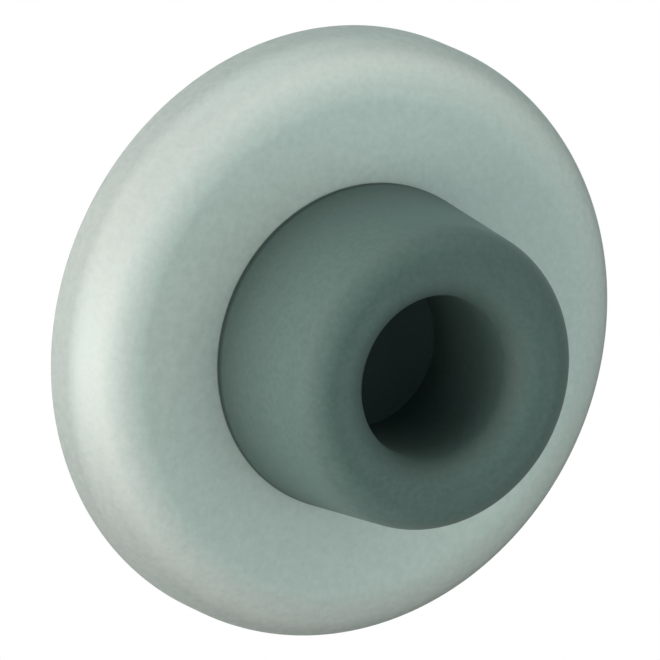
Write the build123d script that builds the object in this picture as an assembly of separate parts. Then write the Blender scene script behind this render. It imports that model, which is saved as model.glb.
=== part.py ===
from build123d import *
import os

# Wall door stop of the concave kind: a pressed round rose, a rubber ring bumper with a deep
# recess for the button of a door knob, and the hidden plate, screw and plug that hold it.
# All sizes are in millimetres. Sections are drawn as radius and height off the wall.
# The finished part stands off a wall in the XZ plane, points along -Y and has +Z up.

# Overall sizes
BASE_DIAMETER = 63.5
PROJECTION = 25.4

# Rose, pressed from satin stainless sheet
SHEET = 1.0
RIM_HEIGHT = 3.2
SHOULDER_WIDTH = 6.4
FACE_HEIGHT = 8.7
MOUTH_DIAMETER = 32.4
MOUTH_EDGE_ROUNDING = 0.25
RIM_EDGE_ROUNDING = 0.15

# Backing plate, a shallow pan pressed from steel sheet, wedged in the rim of the rose
PLATE_SHEET = 1.2
PLATE_FLANGE_HEIGHT = 3.0
PLATE_BEND = 1.6
BOSS_RISE = 1.3
BOSS_DIAMETER = 14.0
BOSS_SLOPE_WIDTH = 2.0
BOSS_BEND = 0.8
FLANGE_FINGERS = 12
FINGER_SLOT_WIDTH = 1.6

# Mounting screw, pan head with a cross recess
SCREW_DIAMETER = 4.8
SCREW_LENGTH = 38.0
SCREW_POINT_LENGTH = 5.0
SCREW_TIP_DIAMETER = 0.6
HEAD_DIAMETER = 9.4
HEAD_HEIGHT = 3.0
HEAD_EDGE_ROUNDING = 1.6
HEAD_RIM_ROUNDING = 0.3
CROSS_SPAN = 5.2
CROSS_WIDTH = 1.1
CROSS_DEPTH = 2.0
CROSS_TAPER = 8.0

# Wall plug, moulded nylon with a collar, a smooth neck and four ribbed legs
PLUG_DIAMETER = 8.0
PLUG_LENGTH = 32.0
PLUG_NECK_LENGTH = 9.0
PLUG_COLLAR_DIAMETER = 11.0
PLUG_COLLAR_THICKNESS = 1.0
PLUG_TOOTH_PITCH = 2.5
PLUG_TOOTH_ROOT_DEPTH = 0.7
PLUG_TOOTH_TIP_DEPTH = 0.15
PLUG_TIP_TAPER = 1.0
PLUG_SLIT_WIDTH = 1.0

# Bumper, moulded rubber
BUMPER_BASE_DIAMETER = 34.3
BUMPER_FRONT_DIAMETER = 31.5
BUMPER_EDGE_ROUNDING = 2.5
RECESS_MOUTH_DIAMETER = 17.2
RECESS_FLOOR_DIAMETER = 16.8
RECESS_LIP_ROUNDING = 3.0
RECESS_CORNER_ROUNDING = 0.5
WEB_THICKNESS = 2.65
BASE_LIP_ROUNDING = 0.2
BARB_OVERHANG = 1.7
BARB_THICKNESS = 1.6
BARB_ROUNDING = 0.5
FOOT_OUTER_DIAMETER = 29.0
FOOT_INNER_DIAMETER = 21.0
POCKET_ROUNDING = 1.0

# Clearances
RUBBER_GAP = 0.3
WEDGE_GAP = 0.05
SCREW_HOLE_GAP = 0.25
PLUG_BORE_GAP = 0.1
HEAD_CLEARANCE = 0.8

# Heights off the wall that more than one piece shares
PLATE_TOP = PLATE_SHEET
BOSS_TOP = BOSS_RISE + PLATE_SHEET
HEAD_TOP = BOSS_TOP + HEAD_HEIGHT
POCKET_ROOF = HEAD_TOP + HEAD_CLEARANCE
RECESS_FLOOR = POCKET_ROOF + WEB_THICKNESS
FACE_BACK = FACE_HEIGHT - SHEET

# Radii that more than one piece shares
BASE_RADIUS = BASE_DIAMETER / 2
MOUTH_RADIUS = MOUTH_DIAMETER / 2
SCREW_RADIUS = SCREW_DIAMETER / 2


def section(*corners):
    """Closed half section. A corner is (radius, height), with a rounding as a third number."""
    face = make_face(Polyline(*[corner[:2] for corner in corners], close=True))
    for corner in corners:
        if len(corner) == 3:
            radius, height, rounding = corner
            vertex = face.vertices().sort_by_distance((radius, height))[0]
            face = fillet(vertex, rounding)
    return face


def turned(face):
    """The solid that a half section sweeps around the axis of the stop."""
    return revolve(Plane.XZ * face, Axis.Z)


def on_wall(solid):
    """Turns a piece from its own upright frame to the wall, where height runs along -Y."""
    return solid.rotate(Axis.X, 90)


def make_rose():
    """Pressed cover: straight rim, elliptical shoulder, flat face and punched mouth."""
    shoulder_foot = (BASE_RADIUS - SHOULDER_WIDTH, RIM_HEIGHT)
    shoulder_rise = FACE_HEIGHT - RIM_HEIGHT
    outer = EllipticalCenterArc(shoulder_foot, SHOULDER_WIDTH, shoulder_rise, arc_size=90)
    inner = EllipticalCenterArc(
        shoulder_foot, SHOULDER_WIDTH - SHEET, shoulder_rise - SHEET, arc_size=90
    )
    mouth = Polyline(outer @ 1, (MOUTH_RADIUS, FACE_HEIGHT), (MOUTH_RADIUS, FACE_BACK), inner @ 1)
    rim = Polyline(inner @ 0, (BASE_RADIUS - SHEET, 0), (BASE_RADIUS, 0), outer @ 0)
    face = make_face(outer + mouth + inner + rim)
    for height in (FACE_HEIGHT, FACE_BACK):
        edge = face.vertices().sort_by_distance((MOUTH_RADIUS, height))[0]
        face = fillet(edge, MOUTH_EDGE_ROUNDING)
    rim_edge = face.vertices().sort_by_distance((BASE_RADIUS, 0))[0]
    return turned(fillet(rim_edge, RIM_EDGE_ROUNDING))


def make_backing_plate():
    """Pan with a raised boss for the screw and a flange slotted into spring fingers."""
    hole = SCREW_RADIUS + SCREW_HOLE_GAP
    flange = BASE_RADIUS - SHEET - WEDGE_GAP
    boss = BOSS_DIAMETER / 2
    slope = boss + BOSS_SLOPE_WIDTH
    pan = turned(
        section(
            (hole, BOSS_RISE),
            (boss, BOSS_RISE, BOSS_BEND),
            (slope, 0, BOSS_BEND),
            (flange, 0, PLATE_BEND),
            (flange, PLATE_FLANGE_HEIGHT),
            (flange - PLATE_SHEET, PLATE_FLANGE_HEIGHT),
            (flange - PLATE_SHEET, PLATE_TOP, PLATE_BEND - PLATE_SHEET),
            (slope, PLATE_TOP, BOSS_BEND),
            (boss, BOSS_TOP, BOSS_BEND),
            (hole, BOSS_TOP),
        )
    )
    finger_height = PLATE_FLANGE_HEIGHT - PLATE_BEND
    slot = Pos(flange - PLATE_SHEET / 2, 0, PLATE_BEND + finger_height / 2) * Box(
        2 * PLATE_SHEET, FINGER_SLOT_WIDTH, finger_height
    )
    for turn in range(FLANGE_FINGERS):
        pan -= Rot(0, 0, turn * 360 / FLANGE_FINGERS) * slot
    return pan


def make_mounting_screw():
    """Pan head screw, its thread left as the cylinder of the thread's crests."""
    head = HEAD_DIAMETER / 2
    tip = BOSS_TOP - SCREW_LENGTH
    blank = turned(
        section(
            (0, HEAD_TOP),
            (head, HEAD_TOP, HEAD_EDGE_ROUNDING),
            (head, BOSS_TOP, HEAD_RIM_ROUNDING),
            (SCREW_RADIUS, BOSS_TOP),
            (SCREW_RADIUS, tip + SCREW_POINT_LENGTH),
            (SCREW_TIP_DIAMETER / 2, tip),
            (0, tip),
        )
    )
    bars = Rectangle(CROSS_SPAN, CROSS_WIDTH) + Rectangle(CROSS_WIDTH, CROSS_SPAN)
    recess = extrude(Pos(0, 0, HEAD_TOP) * bars, amount=-CROSS_DEPTH, taper=CROSS_TAPER)
    return blank - recess


def make_wall_plug():
    """Nylon plug: collar on the wall, smooth neck, saw teeth and two crossed slits."""
    bore = SCREW_RADIUS + PLUG_BORE_GAP
    body = PLUG_DIAMETER / 2
    tip = PLUG_COLLAR_THICKNESS - PLUG_LENGTH
    corners = [
        (bore, PLUG_COLLAR_THICKNESS),
        (PLUG_COLLAR_DIAMETER / 2, PLUG_COLLAR_THICKNESS),
        (PLUG_COLLAR_DIAMETER / 2, 0),
        (body, 0),
        (body, -PLUG_NECK_LENGTH),
    ]
    teeth_run = -PLUG_NECK_LENGTH - tip
    teeth = int(teeth_run / PLUG_TOOTH_PITCH)
    for tooth in range(1, teeth):
        root_height = -PLUG_NECK_LENGTH - tooth * PLUG_TOOTH_PITCH
        corners.append((body - PLUG_TOOTH_ROOT_DEPTH, root_height))
        corners.append((body - PLUG_TOOTH_TIP_DEPTH, root_height))
    corners.append((body - PLUG_TIP_TAPER, tip))
    corners.append((bore, tip))
    plug = turned(section(*corners))
    slit = Pos(0, 0, tip + teeth_run / 2) * Box(PLUG_DIAMETER, PLUG_SLIT_WIDTH, teeth_run)
    return plug - slit - Rot(0, 0, 90) * slit


def make_bumper():
    """Rubber ring: tapered side, round edges, blind recess, snap groove and cored back."""
    lip_height = FACE_HEIGHT + RUBBER_GAP
    groove_back = FACE_BACK - RUBBER_GAP
    barb_back = groove_back - BARB_THICKNESS
    groove = MOUTH_RADIUS - RUBBER_GAP
    barb = MOUTH_RADIUS + BARB_OVERHANG
    foot = PLATE_TOP + RUBBER_GAP
    pocket = FOOT_INNER_DIAMETER / 2
    return turned(
        section(
            (0, RECESS_FLOOR),
            (RECESS_FLOOR_DIAMETER / 2, RECESS_FLOOR, RECESS_CORNER_ROUNDING),
            (RECESS_MOUTH_DIAMETER / 2, PROJECTION, RECESS_LIP_ROUNDING),
            (BUMPER_FRONT_DIAMETER / 2, PROJECTION, BUMPER_EDGE_ROUNDING),
            (BUMPER_BASE_DIAMETER / 2, lip_height, BASE_LIP_ROUNDING),
            (groove, lip_height),
            (groove, groove_back),
            (barb, groove_back, BARB_ROUNDING),
            (barb, barb_back, BARB_ROUNDING),
            (FOOT_OUTER_DIAMETER / 2, foot),
            (pocket, foot),
            (pocket, POCKET_ROOF, POCKET_ROUNDING),
            (0, POCKET_ROOF),
        )
    )


PIECES = {
    "rose": make_rose,
    "backing_plate": make_backing_plate,
    "mounting_screw": make_mounting_screw,
    "wall_plug": make_wall_plug,
    "bumper": make_bumper,
}

os.makedirs("parts", exist_ok=True)
for name, make in PIECES.items():
    export_step(on_wall(make()), f"parts/{name}.step")
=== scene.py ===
import logging
import math
from dataclasses import dataclass
from enum import Enum
from typing import Any

import bmesh
import bpy
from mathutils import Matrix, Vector


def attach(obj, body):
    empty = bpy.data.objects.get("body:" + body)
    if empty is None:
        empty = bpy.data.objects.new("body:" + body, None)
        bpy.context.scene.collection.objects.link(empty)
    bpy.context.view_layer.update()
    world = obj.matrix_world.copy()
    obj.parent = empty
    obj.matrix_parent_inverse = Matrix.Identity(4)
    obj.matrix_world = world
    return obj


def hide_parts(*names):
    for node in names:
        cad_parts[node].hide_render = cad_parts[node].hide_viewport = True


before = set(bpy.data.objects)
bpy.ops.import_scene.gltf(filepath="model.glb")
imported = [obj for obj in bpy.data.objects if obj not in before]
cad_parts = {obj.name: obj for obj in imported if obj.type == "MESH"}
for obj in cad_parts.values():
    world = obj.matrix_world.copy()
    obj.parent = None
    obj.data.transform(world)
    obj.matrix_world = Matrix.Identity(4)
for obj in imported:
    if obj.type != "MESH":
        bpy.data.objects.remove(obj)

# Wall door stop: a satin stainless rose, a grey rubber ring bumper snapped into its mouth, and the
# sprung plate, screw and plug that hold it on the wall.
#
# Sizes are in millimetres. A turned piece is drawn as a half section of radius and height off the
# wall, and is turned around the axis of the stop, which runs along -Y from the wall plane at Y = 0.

log = logging.getLogger("door_stop")

MM = 0.001
MICROMETRE = 1e-6
LEAST_EDGE = MICROMETRE / 100
WHITE = "#ffffff"
BODY = "root"

# The fine noise in every finish: its octaves, how much each one keeps of the one before, and the
# range that nearly all of it fills, around a half.
GRAIN_DETAIL = 4.0
GRAIN_KEEP = 0.6
GRAIN_RANGE = {"From Min": 0.3, "From Max": 0.7}

Point = tuple[float, float]
Socket = bpy.types.NodeSocket


class Slot(Enum):
    """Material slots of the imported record."""

    STEEL = "satin_stainless"
    RUBBER = "grey_rubber"
    ZINC = "zinc_plated_steel"
    NYLON = "nylon"


class Reach(Enum):
    """Light rays that see the white studio background."""

    CAMERA = "Is Camera Ray"
    GLOSSY = "Is Glossy Ray"
    TRANSMISSION = "Is Transmission Ray"


def linear(hex_colour: str) -> tuple[float, float, float, float]:
    """Turns an sRGB hex colour to linear light.

    Args:
        hex_colour: Six hex digits, with or without a leading hash.

    Returns:
        Red, green, blue and an alpha of 1.
    """
    digits = hex_colour.lstrip("#")
    channels = [int(digits[i : i + 2], 16) / 255 for i in (0, 2, 4)]
    turned = [c / 12.92 if c <= 0.04045 else ((c + 0.055) / 1.055) ** 2.4 for c in channels]
    return (turned[0], turned[1], turned[2], 1.0)


def add_node(
    tree: bpy.types.NodeTree, kind: str, links: dict[str | int, Any] | None = None, **settings: Any
) -> bpy.types.Node:
    """Adds one node to a tree.

    Args:
        tree: The node tree.
        kind: Blender's name for the node's type.
        links: For each input, by name or place, a value or the output socket that feeds it.
        **settings: Properties of the node itself.

    Returns:
        The new node.
    """
    node = tree.nodes.new(kind)
    for name, value in settings.items():
        setattr(node, name, value)
    for key, value in (links or {}).items():
        socket = node.inputs[key]
        if isinstance(value, Socket):
            tree.links.new(value, socket)
        else:
            socket.default_value = value
    return node


def add_object(name: str, data: bpy.types.ID) -> bpy.types.Object:
    """Adds an object to the scene.

    Args:
        name: The object's name.
        data: Its mesh, lamp or camera.

    Returns:
        The new object, at the origin.
    """
    thing = bpy.data.objects.new(name, data)
    bpy.context.scene.collection.objects.link(thing)
    return thing


def mesh_of(shape: bmesh.types.BMesh, name: str) -> bpy.types.Mesh:
    """Writes a shape to a new mesh and frees the shape.

    Args:
        shape: The finished shape.
        name: The mesh's name.

    Returns:
        The new mesh.
    """
    mesh = bpy.data.meshes.new(name)
    shape.to_mesh(mesh)
    shape.free()
    return mesh


@dataclass(frozen=True)
class Corner:
    """One point of a half section, in millimetres.

    A corner is rounded by its rounding. A point on a curve is taken as it is, because its
    neighbours already carry the shape.
    """

    radius: float
    height: float
    rounding: float = 0.0
    on_curve: bool = False


def section(corners: list[Corner], steps: int, support: float = 0.05) -> list[Point]:
    """Draws a half section with its corners rounded.

    Args:
        corners: The corners in order, of which the last is joined to the first.
        steps: Straight pieces in each rounding.
        support: Distance from a corner to the extra points that keep the flats beside it flat,
            but never more than a quarter of the flat.

    Returns:
        The outline's points, in order.
    """
    places = [Vector((corner.radius, corner.height)) for corner in corners]
    outline: list[Vector] = []
    for i, (corner, place) in enumerate(zip(corners, places)):
        if corner.on_curve:
            outline.append(place)
            continue
        before = places[i - 1] - place
        after = places[(i + 1) % len(places)] - place
        way_in, way_out = before.normalized(), after.normalized()
        half = before.angle(after) / 2
        run = corner.rounding / math.tan(half)
        start, end = place + way_in * run, place + way_out * run
        outline.append(start + way_in * min(support, (before.length - run) / 4))
        if corner.rounding:
            centre = place + (way_in + way_out).normalized() * (corner.rounding / math.sin(half))
            arm = start - centre
            turn = -arm.angle_signed(end - centre) / steps
            for step in range(steps + 1):
                c, s = math.cos(turn * step), math.sin(turn * step)
                outline.append(centre + Vector((arm.x * c - arm.y * s, arm.x * s + arm.y * c)))
        else:
            outline.append(place)
        outline.append(end + way_out * min(support, (after.length - run) / 4))
    return [(p.x, p.y) for p in outline]


def quarter_ellipse(centre: Point, across: float, up: float, steps: int) -> list[Corner]:
    """Draws a quarter ellipse from its outermost point to its highest one.

    Args:
        centre: Radius and height of the centre.
        across: Half axis along the radius.
        up: Half axis along the height.
        steps: Straight pieces in the quarter.

    Returns:
        The points, both ends among them.
    """
    angles = [math.pi / 2 * step / steps for step in range(steps + 1)]
    return [
        Corner(centre[0] + across * math.cos(a), centre[1] + up * math.sin(a), on_curve=True)
        for a in angles
    ]


class Lathe:
    """Geometry Nodes tree that turns a half section around the axis of the stop.

    The object's own mesh is the section: a chain of points at (radius, height, 0), in metres. A
    thread may be cut into the part of the section that lies below a given height. Enough turns are
    added to its helix to keep it above zero, and it never cuts deeper than a share of the radius.
    """

    ADDED_TURNS = 1000.0
    DEEPEST_CUT = 0.5

    # Each input is a name, a kind of socket and a default. The defaults cut no thread.
    INPUTS = (
        ("Segments", "NodeSocketInt", 192),
        ("Section Points", "NodeSocketInt", 2),
        ("Thread Pitch", "NodeSocketFloat", 1.0),
        ("Thread Depth", "NodeSocketFloat", 0.0),
        ("Thread Top", "NodeSocketFloat", 0.0),
        ("Thread Run Out", "NodeSocketFloat", 1.0),
        ("Material", "NodeSocketMaterial", None),
    )

    # Each sum is a result, an operation and its terms: names or numbers. The first six find the
    # section point (row) and the step around the axis (column) that a point of the grid stands for.
    SUMS = (
        ("columns", "ADD", "Segments", 1.0),
        ("middle", "ADD", "index", 0.5),
        ("rows", "DIVIDE", "middle", "columns"),
        ("row", "FLOOR", "rows"),
        ("row start", "MULTIPLY", "row", "columns"),
        ("column", "SUBTRACT", "index", "row start"),
        ("share", "DIVIDE", "column", "Segments"),
        ("angle", "MULTIPLY", "share", math.tau),
        ("turns", "DIVIDE", "height", "Thread Pitch"),
        ("helix", "ADD", "turns", "share"),
        ("helix above zero", "ADD", "helix", ADDED_TURNS),
        ("phase", "FRACT", "helix above zero"),
        ("off crest", "SUBTRACT", "phase", 0.5),
        ("half ridge", "ABSOLUTE", "off crest"),
        ("ridge", "MULTIPLY", "half ridge", 2.0),
        ("below top", "SUBTRACT", "Thread Top", "height"),
        ("run", "DIVIDE", "below top", "Thread Run Out"),
        ("run from zero", "MAXIMUM", "run", 0.0),
        ("fade", "MINIMUM", "run from zero", 1.0),
        ("faded depth", "MULTIPLY", "fade", "Thread Depth"),
        ("wanted cut", "MULTIPLY", "ridge", "faded depth"),
        ("most cut", "MULTIPLY", "radius", DEEPEST_CUT),
        ("cut", "MINIMUM", "wanted cut", "most cut"),
        ("cut radius", "SUBTRACT", "radius", "cut"),
        ("cosine", "COSINE", "angle"),
        ("sine", "SINE", "angle"),
        ("x", "MULTIPLY", "cut radius", "cosine"),
        ("y", "MULTIPLY", "height", -1.0),
        ("z", "MULTIPLY", "cut radius", "sine"),
    )

    def __init__(self) -> None:
        """Builds the tree once, for all turned pieces."""
        self.tree = bpy.data.node_groups.new("turned_piece", "GeometryNodeTree")
        face = self.tree.interface
        face.new_socket(name="Geometry", in_out="INPUT", socket_type="NodeSocketGeometry")
        face.new_socket(name="Geometry", in_out="OUTPUT", socket_type="NodeSocketGeometry")
        self.keys: dict[str, str] = {}
        for name, kind, default in self.INPUTS:
            socket = face.new_socket(name=name, in_out="INPUT", socket_type=kind)
            if default is not None:
                socket.default_value = default
            self.keys[name] = socket.identifier
        self._fill()

    def _fill(self) -> None:
        """Adds the nodes: a grid whose rows follow the section and whose columns go round."""
        tree = self.tree
        given = add_node(tree, "NodeGroupInput").outputs
        known = {name: given[name] for name, _, _ in self.INPUTS}
        known["index"] = add_node(tree, "GeometryNodeInputIndex").outputs[0]
        here = add_node(tree, "GeometryNodeInputPosition").outputs[0]
        point = add_node(
            tree,
            "GeometryNodeSampleIndex",
            {"Geometry": given["Geometry"], "Value": here},
            data_type="FLOAT_VECTOR",
            clamp=True,
        )
        spot = add_node(tree, "ShaderNodeSeparateXYZ", {0: point.outputs["Value"]})
        known["radius"], known["height"] = spot.outputs["X"], spot.outputs["Y"]
        for result, operation, *terms in self.SUMS:
            links = {i: known[t] if isinstance(t, str) else t for i, t in enumerate(terms)}
            node = add_node(tree, "ShaderNodeMath", links, operation=operation)
            known[result] = node.outputs[0]
        tree.links.new(known["row"], point.inputs["Index"])
        grid = add_node(
            tree,
            "GeometryNodeMeshGrid",
            {"Vertices X": known["Section Points"], "Vertices Y": known["columns"]},
        )
        place = add_node(
            tree, "ShaderNodeCombineXYZ", {"X": known["x"], "Y": known["y"], "Z": known["z"]}
        )
        steps = (
            ("GeometryNodeSetPosition", {"Position": place.outputs[0]}),
            ("GeometryNodeMergeByDistance", {"Distance": MICROMETRE}),
            ("GeometryNodeSetShadeSmooth", {}),
            ("GeometryNodeRealizeInstances", {}),
            ("GeometryNodeSetMaterial", {"Material": known["Material"]}),
            ("NodeGroupOutput", {}),
        )
        shape = grid.outputs["Mesh"]
        for kind, links in steps:
            node = add_node(tree, kind, {"Geometry": shape, **links})
            shape = node.outputs[0] if node.outputs else None

    def turn(
        self, name: str, outline: list[Point], material: bpy.types.Material, **sizes: float
    ) -> bpy.types.Object:
        """Turns one half section into a solid piece.

        Args:
            name: The piece's name.
            outline: (radius, height) points in millimetres, of which the last joins the first or
                both ends lie on the axis.
            material: The piece's finish.
            **sizes: Inputs of the tree, with underscores for spaces, in metres.

        Returns:
            The finished piece as a plain mesh with nothing left to evaluate.
        """
        ends_on_axis = outline[0][0] == 0 and outline[-1][0] == 0
        points = outline if ends_on_axis else outline + outline[:1]
        mesh = bpy.data.meshes.new(f"{name}_section")
        places = [(radius * MM, height * MM, 0.0) for radius, height in points]
        mesh.from_pydata(places, [(i, i + 1) for i in range(len(places) - 1)], [])
        holder = add_object(f"{name}_section", mesh)
        modifier = holder.modifiers.new("turned_piece", "NODES")
        modifier.node_group = self.tree
        values = {"Section Points": len(places), "Material": material}
        values.update({key.replace("_", " ").title(): value for key, value in sizes.items()})
        for key, value in values.items():
            modifier[self.keys[key]] = value
        return plain_copy(holder, name)


def plain_copy(holder: bpy.types.Object, name: str) -> bpy.types.Object:
    """Turns an evaluated object into a plain piece and deletes the object it came from.

    Args:
        holder: The object with its modifiers.
        name: The new piece's name.

    Returns:
        The plain piece, closed, with faces outwards and sharp edges where it has corners.
    """
    evaluated = holder.evaluated_get(bpy.context.evaluated_depsgraph_get())
    mesh = bpy.data.meshes.new_from_object(evaluated)
    mesh.name = name
    bpy.data.objects.remove(holder)
    tidy_mesh(mesh)
    return add_object(name, mesh)


def tidy_mesh(mesh: bpy.types.Mesh, corner_angle: float = 35.0) -> None:
    """Joins doubles, drops faces without area, points faces outwards and marks corners sharp.

    Args:
        mesh: The mesh to change.
        corner_angle: Edges that turn more than this many degrees stay sharp.
    """
    shape = bmesh.new()
    shape.from_mesh(mesh)
    bmesh.ops.remove_doubles(shape, verts=shape.verts, dist=MICROMETRE)
    bmesh.ops.dissolve_degenerate(shape, dist=LEAST_EDGE, edges=shape.edges)
    bmesh.ops.recalc_face_normals(shape, faces=shape.faces)
    for face in shape.faces:
        face.smooth = True
    shape.to_mesh(mesh)
    shape.free()
    mesh.set_sharp_from_angle(angle=math.radians(corner_angle))


def dress(piece: bpy.types.Object, material: bpy.types.Material, node: str) -> None:
    """Gives a piece its material, the body it rides on and the solid it stands for.

    Args:
        piece: The finished piece.
        material: Its one material.
        node: The solid of the frame that it replaces.
    """
    piece.data.materials.clear()
    piece.data.materials.append(material)
    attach(piece, BODY)
    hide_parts(node)
    # Corners 0 and 6 of a bounding box are its lowest and its highest.
    low, high = (Vector(piece.bound_box[i]) / MM for i in (0, 6))
    spans = ", ".join(f"{span:.2f}" for span in high - low)
    log.info("%s: %d faces, %s mm", piece.name, len(piece.data.polygons), spans)


# Limits of a zone that is not bounded one way: no steel is within 1 mm of the axis, and no rubber
# within 1 mm of the wall.
ANYWHERE = (0.0, 1.0)


@dataclass(frozen=True)
class Zone:
    """A ring of a surface whose colour is multiplied by a tone, with soft ends.

    The tone is absent at the first radius and height and full at the second ones, in millimetres.
    """

    tone: str
    radius: tuple[float, float]
    height: tuple[float, float]


@dataclass(frozen=True)
class Finish:
    """A surface whose colour, gloss and relief vary a little in fine grains.

    Grain and cloud sizes are in millimetres, and the depth of the grain is in micrometres. The
    gloss tint colours what a metal reflects at its edges, and all the gloss of other surfaces.
    """

    name: str
    light: str
    dark: str
    roughness: float
    roughness_spread: float
    grain: float
    grain_depth: float
    cloud: float = 0.0
    cloud_tone: str = WHITE
    metallic: float = 0.0
    specular: float = 0.5
    gloss_tint: str = WHITE
    subsurface: float = 0.0
    subsurface_depth: float = 1.5
    zones: tuple[Zone, ...] = ()

    def base_colour(self, tree: bpy.types.NodeTree, place: Socket, grain: Socket) -> Socket:
        """Adds the nodes of the surface's colour: grain, broad clouds, then the toned rings.

        Args:
            tree: The material's tree.
            place: Object coordinates.
            grain: The fine grain, around a half.

        Returns:
            The colour.
        """
        blend = add_node(tree, "ShaderNodeMapRange", {"Value": grain, **GRAIN_RANGE}).outputs[0]
        layers = [("MIX", blend, linear(self.light))]
        if self.cloud:
            clouds = add_node(
                tree, "ShaderNodeTexNoise", {"Vector": place, "Scale": 1 / (self.cloud * MM)}
            ).outputs[0]
            layers.append(("MULTIPLY", clouds, linear(self.cloud_tone)))
        parts = add_node(tree, "ShaderNodeSeparateXYZ", {0: place}).outputs
        flat = add_node(tree, "ShaderNodeCombineXYZ", {"X": parts["X"], "Z": parts["Z"]}).outputs[0]
        reach = {
            "radius": add_node(
                tree, "ShaderNodeVectorMath", {0: flat}, operation="LENGTH"
            ).outputs["Value"],
            "height": add_node(
                tree, "ShaderNodeMath", {0: parts["Y"], 1: -1.0}, operation="MULTIPLY"
            ).outputs[0],
        }
        for zone in self.zones:
            share: Any = 1.0
            for name, (none_at, full_at) in (("radius", zone.radius), ("height", zone.height)):
                rising = full_at > none_at
                ramp = add_node(
                    tree,
                    "ShaderNodeMapRange",
                    {
                        "Value": reach[name],
                        "From Min": min(none_at, full_at) * MM,
                        "From Max": max(none_at, full_at) * MM,
                        "To Min": 0.0 if rising else 1.0,
                        "To Max": 1.0 if rising else 0.0,
                    },
                    interpolation_type="SMOOTHSTEP",
                ).outputs[0]
                share = add_node(
                    tree, "ShaderNodeMath", {0: ramp, 1: share}, operation="MULTIPLY"
                ).outputs[0]
            layers.append(("MULTIPLY", share, linear(zone.tone)))
        colour: Any = linear(self.dark)
        for blend_type, share, layer in layers:
            # Inputs 6 and 7 are the mix node's two colours, and output 2 is its mixed colour.
            colour = add_node(
                tree,
                "ShaderNodeMix",
                {0: share, 6: colour, 7: layer},
                data_type="RGBA",
                blend_type=blend_type,
            ).outputs[2]
        return colour

    def material(self) -> bpy.types.Material:
        """Builds the material, with grain in its colour, roughness and relief.

        Returns:
            The new material.
        """
        material = bpy.data.materials.new(self.name)
        material.use_nodes = True
        tree = material.node_tree
        tree.nodes.clear()
        place = add_node(tree, "ShaderNodeTexCoord").outputs["Object"]
        grain = add_node(
            tree,
            "ShaderNodeTexNoise",
            {
                "Vector": place,
                "Scale": 1 / (self.grain * MM),
                "Detail": GRAIN_DETAIL,
                "Roughness": GRAIN_KEEP,
            },
        ).outputs[0]
        rough = add_node(
            tree,
            "ShaderNodeMapRange",
            {
                "Value": grain,
                **GRAIN_RANGE,
                "To Min": self.roughness - self.roughness_spread,
                "To Max": self.roughness + self.roughness_spread,
            },
        ).outputs[0]
        relief = add_node(
            tree,
            "ShaderNodeBump",
            {"Height": grain, "Strength": 1.0, "Distance": self.grain_depth * MICROMETRE},
        ).outputs[0]
        shader = add_node(
            tree,
            "ShaderNodeBsdfPrincipled",
            {
                "Base Color": self.base_colour(tree, place, grain),
                "Metallic": self.metallic,
                "Roughness": rough,
                "Specular IOR Level": self.specular,
                "Specular Tint": linear(self.gloss_tint),
                "Subsurface Weight": self.subsurface,
                "Subsurface Scale": self.subsurface_depth * MM,
                "Normal": relief,
            },
        )
        add_node(tree, "ShaderNodeOutputMaterial", {"Surface": shader.outputs[0]})
        return material


# Satin stainless steel, pressed and then blasted with fine glass beads: an even pale grey with a
# broad soft sheen that fades towards the edges, and a fine mottle, never a mirror image. The beads
# leave pits of about 0.1 mm across and a micrometre deep. They are drawn as 0.7 mm grain, 12 times
# as deep, because finer pits would not show. They scatter part of the light as a matt surface does,
# so the metal is not full. Rings of painted shade and painted highlight tint: the shoulder is
# painted darker and a little warmer than the flat face, and darkest at the rim, and the narrow gap
# under the rubber is a painted shadow.
SATIN_STEEL = Finish(
    name="satin_stainless_steel",
    light="#b2cac6",
    dark="#a7bfbb",
    metallic=0.7,
    roughness=0.65,
    roughness_spread=0.03,
    grain=0.7,
    grain_depth=12.0,
    specular=0.0,
    gloss_tint="#606060",
    zones=(
        # Painted highlight tint where the shoulder leaves the flat face.
        Zone("#fefafa", radius=ANYWHERE, height=(8.68, 8.35)),
        # Painted shade and a warmer painted highlight tint over the shoulder.
        Zone("#ede4e5", radius=ANYWHERE, height=(8.5, 5.8)),
        # Painted shade, a little cooler, at the rim.
        Zone("#f1fafa", radius=(29.0, 31.4), height=(8.0, 6.0)),
        # Painted shadow in the narrow gap under the rubber.
        Zone("#8ea49f", radius=(17.2, 17.05), height=(8.0, 8.5)),
    ),
)

# Moulded EPDM rubber: dark grey-green and matt, with a dry soft sheen and no clear reflections. The
# mould's spark eroded skin, 0.1 mm coarse, is drawn as 0.6 mm grain so that it shows. Rings of
# painted shade: the outer side and edge rounding below the front are painted a little darker than
# the front, darker still towards the rose and under the base lip, and darker in the recess.
GREY_RUBBER = Finish(
    name="moulded_grey_rubber",
    light="#4a6662",
    dark="#3f5b57",
    roughness=0.7,
    roughness_spread=0.04,
    grain=0.6,
    grain_depth=12.0,
    specular=0.37,
    gloss_tint="#f4ffff",
    zones=(
        # Painted shade on the outer side and edge rounding below the front.
        Zone("#efefef", radius=(12.0, 13.5), height=(25.4, 24.3)),
        # Painted shade down the side towards the rose.
        Zone("#c9c9c9", radius=(11.5, 12.5), height=(21.0, 8.5)),
        # Painted shade at the base, where it meets the rose.
        Zone("#bcbcbc", radius=(16.0, 17.0), height=(9.7, 9.2)),
        # Painted shade in the recess and on its lip.
        Zone("#d7d7d7", radius=(11.2, 8.6), height=ANYWHERE),
        # Painted shade deeper in the recess, at its floor.
        Zone("#e6e6e6", radius=(10.0, 9.0), height=(13.0, 9.0)),
    ),
)

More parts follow.
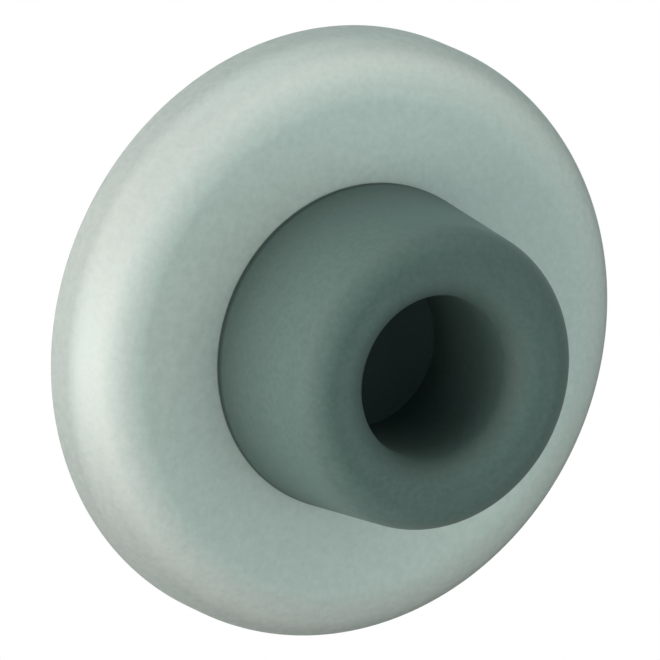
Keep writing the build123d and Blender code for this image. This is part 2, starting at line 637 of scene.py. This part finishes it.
# Zinc plated steel: bluish bright grey with the small spangled clouds of the plating bath, 1.2 mm
# across. The grain of the rolled sheet below is finer than the 0.3 mm that it is drawn at.
ZINC_PLATE = Finish(
    name="zinc_plated_steel",
    light="#c9ccd1",
    dark="#bcc0c7",
    metallic=1.0,
    roughness=0.32,
    roughness_spread=0.05,
    grain=0.3,
    grain_depth=2.0,
    cloud=1.2,
    cloud_tone="#d9dce0",
)

# Natural moulded nylon: milky off-white that light enters a little way, half glossy, with faint
# clouds of flow 3 mm across. The skin of the mould is drawn as 0.4 mm grain, coarser than it is.
NYLON = Finish(
    name="moulded_nylon",
    light="#dcdad0",
    dark="#d3d1c6",
    roughness=0.42,
    roughness_spread=0.04,
    grain=0.4,
    grain_depth=3.0,
    cloud=3.0,
    cloud_tone="#f2efe6",
    subsurface=0.3,
)


@dataclass
class Rose:
    """Pressed cover on the wall, from satin stainless sheet."""

    base_radius: float = 31.75
    sheet: float = 1.0
    rim_height: float = 3.2
    shoulder_width: float = 6.4
    face_height: float = 8.7
    mouth_radius: float = 16.2
    mouth_edge_rounding: float = 0.25
    rim_edge_rounding: float = 0.15
    shoulder_steps: int = 48
    rounding_steps: int = 6
    segments: int = 192

    def outline(self) -> list[Point]:
        """Draws the half section of the pressed sheet.

        Returns:
            The outline, from the mouth's back edge round to its front.
        """
        centre = (self.base_radius - self.shoulder_width, self.rim_height)
        rise = self.face_height - self.rim_height
        outer = quarter_ellipse(centre, self.shoulder_width, rise, self.shoulder_steps)
        inner = quarter_ellipse(
            centre, self.shoulder_width - self.sheet, rise - self.sheet, self.shoulder_steps
        )
        corners = [
            Corner(self.mouth_radius, self.face_height - self.sheet, self.mouth_edge_rounding),
            *inner[::-1],
            Corner(self.base_radius - self.sheet, 0.0),
            Corner(self.base_radius, 0.0, self.rim_edge_rounding),
            *outer,
            Corner(self.mouth_radius, self.face_height, self.mouth_edge_rounding),
        ]
        return section(corners, self.rounding_steps)

    def build(self, lathe: Lathe, finish: Finish) -> None:
        """Turns the rose and puts it in place of its plain solid.

        Args:
            lathe: The tree that turns half sections.
            finish: The finish of the sheet.
        """
        material = finish.material()
        piece = lathe.turn("rose_shell", self.outline(), material, segments=self.segments)
        dress(piece, material, "rose")


@dataclass
class Bumper:
    """Moulded rubber ring with a deep recess, snapped into the mouth of the rose."""

    projection: float = 25.4
    base_radius: float = 17.15
    front_radius: float = 15.75
    edge_rounding: float = 3.0
    recess_mouth_radius: float = 8.6
    recess_floor_radius: float = 8.4
    recess_floor: float = 8.95
    lip_rounding: float = 3.0
    floor_rounding: float = 0.0
    base_rounding: float = 0.25
    lip_height: float = 8.9
    groove_radius: float = 15.9
    groove_back: float = 7.4
    barb_radius: float = 17.9
    barb_thickness: float = 1.6
    barb_rounding: float = 0.5
    foot_height: float = 1.5
    foot_outer_radius: float = 14.5
    foot_inner_radius: float = 10.5
    pocket_roof: float = 6.3
    pocket_rounding: float = 1.0
    rounding_steps: int = 18
    segments: int = 192

    def outline(self) -> list[Point]:
        """Draws the half section of the moulded ring.

        Returns:
            The outline, from the middle of the recess floor out, back and in to the pocket.
        """
        barb_back = self.groove_back - self.barb_thickness
        corners = [
            Corner(0.0, self.recess_floor, on_curve=True),
            Corner(self.recess_floor_radius, self.recess_floor, self.floor_rounding),
            Corner(self.recess_mouth_radius, self.projection, self.lip_rounding),
            Corner(self.front_radius, self.projection, self.edge_rounding),
            Corner(self.base_radius, self.lip_height, self.base_rounding),
            Corner(self.groove_radius, self.lip_height),
            Corner(self.groove_radius, self.groove_back),
            Corner(self.barb_radius, self.groove_back, self.barb_rounding),
            Corner(self.barb_radius, barb_back, self.barb_rounding),
            Corner(self.foot_outer_radius, self.foot_height),
            Corner(self.foot_inner_radius, self.foot_height),
            Corner(self.foot_inner_radius, self.pocket_roof, self.pocket_rounding),
            Corner(0.0, self.pocket_roof, on_curve=True),
        ]
        return section(corners, self.rounding_steps)

    def build(self, lathe: Lathe, finish: Finish) -> None:
        """Turns the bumper and puts it in place of its plain solid.

        Args:
            lathe: The tree that turns half sections.
            finish: The finish of the rubber.
        """
        material = finish.material()
        piece = lathe.turn("rubber_bumper", self.outline(), material, segments=self.segments)
        dress(piece, material, "bumper")


@dataclass
class Fixing:
    """What holds the stop on the wall: backing plate, mounting screw and wall plug."""

    screw_radius: float = 2.4
    screw_length: float = 38.0
    point_length: float = 5.0
    tip_radius: float = 0.3
    head_radius: float = 4.7
    head_height: float = 3.0
    head_edge_rounding: float = 1.6
    head_rim_rounding: float = 0.3
    boss_top: float = 2.5
    thread_pitch: float = 1.8
    thread_depth: float = 0.6
    thread_start: float = 4.0
    rows_per_turn: int = 14
    screw_segments: int = 72
    cross_span: float = 5.2
    cross_width: float = 1.1
    cross_depth: float = 2.0
    cross_taper: float = 8.0
    cross_overshoot: float = 0.2
    rounding_steps: int = 8
    copy_corner_angle: float = 25.0

    def screw_outline(self) -> list[Point]:
        """Draws the half section of the screw.

        Returns:
            The outline, with many rows along the shank for the thread to follow.
        """
        head_top = self.boss_top + self.head_height
        tip = self.boss_top - self.screw_length
        shoulder = tip + self.point_length
        shank_rows = int((self.boss_top - shoulder) / self.thread_pitch * self.rows_per_turn)
        point_rows = int(self.point_length / self.thread_pitch * self.rows_per_turn)
        shank = [
            Corner(
                self.screw_radius,
                self.boss_top + (shoulder - self.boss_top) * row / shank_rows,
                on_curve=True,
            )
            for row in range(1, shank_rows)
        ]
        point = [
            Corner(
                self.screw_radius + (self.tip_radius - self.screw_radius) * row / point_rows,
                shoulder + (tip - shoulder) * row / point_rows,
                on_curve=True,
            )
            for row in range(point_rows + 1)
        ]
        corners = [
            Corner(0.0, head_top, on_curve=True),
            Corner(self.head_radius, head_top, self.head_edge_rounding),
            Corner(self.head_radius, self.boss_top, self.head_rim_rounding),
            Corner(self.screw_radius, self.boss_top),
            *shank,
            *point,
            Corner(0.0, tip, on_curve=True),
        ]
        return section(corners, self.rounding_steps)

    def cross_cutter(self) -> bpy.types.Object:
        """Makes the tool that cuts the drive recess in the screw's head.

        Returns:
            Two crossed bars with sloping walls.
        """
        head_top = self.boss_top + self.head_height
        slope = math.tan(math.radians(self.cross_taper))
        levels = (
            (head_top - self.cross_depth, -self.cross_depth * slope),
            (head_top + self.cross_overshoot, self.cross_overshoot * slope),
        )
        bars = ((self.cross_span, self.cross_width), (self.cross_width, self.cross_span))
        shape = bmesh.new()
        for side_x, side_z in bars:
            rings = []
            for height, change in levels:
                x, z = (side_x / 2 + change) * MM, (side_z / 2 + change) * MM
                around = ((-x, -z), (x, -z), (x, z), (-x, z))
                rings.append([shape.verts.new((u, -height * MM, w)) for u, w in around])
            bottom, top = rings
            shape.faces.new(bottom)
            shape.faces.new(top[::-1])
            for i in range(4):
                j = (i + 1) % 4
                shape.faces.new((bottom[j], bottom[i], top[i], top[j]))
        bmesh.ops.recalc_face_normals(shape, faces=shape.faces)
        return add_object("cross_cutter", mesh_of(shape, "cross_cutter"))

    def build_screw(self, lathe: Lathe, material: bpy.types.Material) -> None:
        """Turns the screw with its thread, cuts the cross recess and replaces the plain solid.

        Args:
            lathe: The tree that turns half sections.
            material: The plating.
        """
        blank = lathe.turn(
            "screw_blank",
            self.screw_outline(),
            material,
            segments=self.screw_segments,
            thread_pitch=self.thread_pitch * MM,
            thread_depth=self.thread_depth * MM,
            thread_top=(self.boss_top - self.thread_start) * MM,
            thread_run_out=self.thread_pitch * MM,
        )
        cutter = self.cross_cutter()
        cut = blank.modifiers.new("cross", "BOOLEAN")
        cut.operation = "DIFFERENCE"
        cut.solver = "EXACT"
        cut.use_self = True
        cut.object = cutter
        piece = plain_copy(blank, "pan_head_screw")
        bpy.data.objects.remove(cutter)
        dress(piece, material, "mounting_screw")

    def smooth_copy(self, node: str, name: str, material: bpy.types.Material) -> None:
        """Shows a solid of the frame as a joined mesh with smooth turned faces.

        Args:
            node: The solid's node.
            name: The new piece's name.
            material: The piece's material.
        """
        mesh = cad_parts[node].data.copy()
        tidy_mesh(mesh, self.copy_corner_angle)
        dress(add_object(name, mesh), material, node)

    def build(self, lathe: Lathe, plated: Finish, moulded: Finish) -> None:
        """Builds the three hidden pieces.

        Args:
            lathe: The tree that turns half sections.
            plated: The finish of plate and screw.
            moulded: The finish of the plug.
        """
        zinc = plated.material()
        self.build_screw(lathe, zinc)
        self.smooth_copy("backing_plate", "pressed_plate", zinc)
        self.smooth_copy("wall_plug", "nylon_plug", moulded.material())


def facing(azimuth: float, elevation: float) -> Vector:
    """Works out a direction from the stop outwards.

    Args:
        azimuth: Degrees to the right of straight in front of the wall.
        elevation: Degrees above level.

    Returns:
        A vector of length 1.
    """
    a, e = math.radians(azimuth), math.radians(elevation)
    return Vector((math.sin(a) * math.cos(e), -math.cos(a) * math.cos(e), math.sin(e)))


@dataclass(frozen=True)
class Lamp:
    """A square soft lamp that looks at the stop.

    Its direction is in degrees, its distance and side in metres and its power in watts.
    """

    name: str
    azimuth: float
    elevation: float
    power: float
    colour: str
    distance: float = 1.2
    side: float = 0.9

    def place(self) -> None:
        """Adds the lamp to the scene."""
        data = bpy.data.lights.new(self.name, "AREA")
        data.size = self.side
        data.energy = self.power
        data.color = linear(self.colour)[:3]
        lamp = add_object(self.name, data)
        way = facing(self.azimuth, self.elevation)
        lamp.location = way * self.distance
        lamp.rotation_mode = "QUATERNION"
        lamp.rotation_quaternion = way.to_track_quat("Z", "Y")
        lamp.visible_camera = False


@dataclass(frozen=True)
class Studio:
    """Camera, lamps, white background and pale floor.

    Angles are in degrees. The frame's width at the stop, the shifts of the view and the sensor are
    in millimetres, and all other lengths in metres.
    """

    azimuth: float = -30.165
    elevation: float = 15.13
    distance: float = 2.0
    frame_width: float = 67.82
    shift_right: float = -1.067
    shift_up: float = 0.338
    sensor: float = 36.0
    nearest_seen: float = 0.1
    farthest_seen: float = 20.0
    sky_level: float = 0.33
    floor_level: float = -0.3
    floor_radius: float = 0.6
    floor_segments: int = 96
    floor_colour: str = "#d4d6d5"
    floor_roughness: float = 0.9
    floor_gloss: float = 0.1

    # A broad sheen from the left and a soft one from above, in slightly warm light.
    lamps: tuple[Lamp, ...] = (
        Lamp("side_left", -90.0, -12.0, 14.7, "#ffe8e6"),
        Lamp("front_left", -60.0, -12.0, 9.6, "#ffe8e1"),
        Lamp("back_left", -120.0, 25.0, 4.3, "#ffd9cf"),
        Lamp("high_left", -90.0, 45.0, 4.8, "#ffd4ca"),
        Lamp("high_right", 45.0, 45.0, 4.0, "#ffe0d0"),
        Lamp("overhead", 0.0, 90.0, 6.6, "#fff4f3"),
    )

    def place_camera(self) -> None:
        """Puts the camera at the picture's viewing angle and makes it the scene's own."""
        back = facing(self.azimuth, self.elevation)
        a = math.radians(self.azimuth)
        right = Vector((math.cos(a), math.sin(a), 0.0))
        up = back.cross(right)
        data = bpy.data.cameras.new("camera")
        data.sensor_width = self.sensor
        data.lens = self.sensor * self.distance / (self.frame_width * MM)
        data.clip_start = self.nearest_seen
        data.clip_end = self.farthest_seen
        camera = add_object("camera", data)
        camera.location = back * self.distance - (right * self.shift_right + up * self.shift_up) * MM
        camera.rotation_mode = "QUATERNION"
        camera.rotation_quaternion = (-back).to_track_quat("-Z", "Y")
        bpy.context.scene.camera = camera

    def light_background(self) -> None:
        """Makes the world white to the eye and to reflections, and a soft light otherwise."""
        world = bpy.data.worlds.new("studio")
        bpy.context.scene.world = world
        world.use_nodes = True
        tree = world.node_tree
        tree.nodes.clear()
        rays = add_node(tree, "ShaderNodeLightPath").outputs
        seen: Any = 0.0
        for reach in Reach:
            links = {0: seen, 1: rays[reach.value]}
            seen = add_node(tree, "ShaderNodeMath", links, operation="MAXIMUM").outputs[0]
        strength = add_node(
            tree, "ShaderNodeMapRange", {"Value": seen, "To Min": self.sky_level, "To Max": 1.0}
        ).outputs[0]
        light = add_node(
            tree, "ShaderNodeBackground", {"Color": linear(WHITE), "Strength": strength}
        )
        add_node(tree, "ShaderNodeOutputWorld", {"Surface": light.outputs[0]})

    def place_floor(self) -> None:
        """Lays a round pale floor below the stop."""
        shape = bmesh.new()
        bmesh.ops.create_circle(
            shape, cap_ends=True, segments=self.floor_segments, radius=self.floor_radius
        )
        bmesh.ops.translate(shape, verts=shape.verts, vec=(0.0, 0.0, self.floor_level))
        floor = add_object("floor", mesh_of(shape, "floor"))
        paint = bpy.data.materials.new("pale_floor_paint")
        paint.use_nodes = True
        shader = paint.node_tree.nodes["Principled BSDF"]
        shader.inputs["Base Color"].default_value = linear(self.floor_colour)
        shader.inputs["Roughness"].default_value = self.floor_roughness
        shader.inputs["Specular IOR Level"].default_value = self.floor_gloss
        floor.data.materials.append(paint)

    def build(self) -> None:
        """Sets up the whole studio."""
        bpy.context.scene.view_settings.view_transform = "Standard"
        self.place_camera()
        self.light_background()
        self.place_floor()
        for lamp in self.lamps:
            lamp.place()


def main() -> None:
    """Builds the stop, then the studio."""
    logging.basicConfig(level=logging.INFO, format="%(name)s: %(message)s")
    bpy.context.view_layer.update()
    lathe = Lathe()
    Rose().build(lathe, SATIN_STEEL)
    Bumper().build(lathe, GREY_RUBBER)
    Fixing().build(lathe, ZINC_PLATE, NYLON)
    Studio().build()


if __name__ == "__main__":
    main()
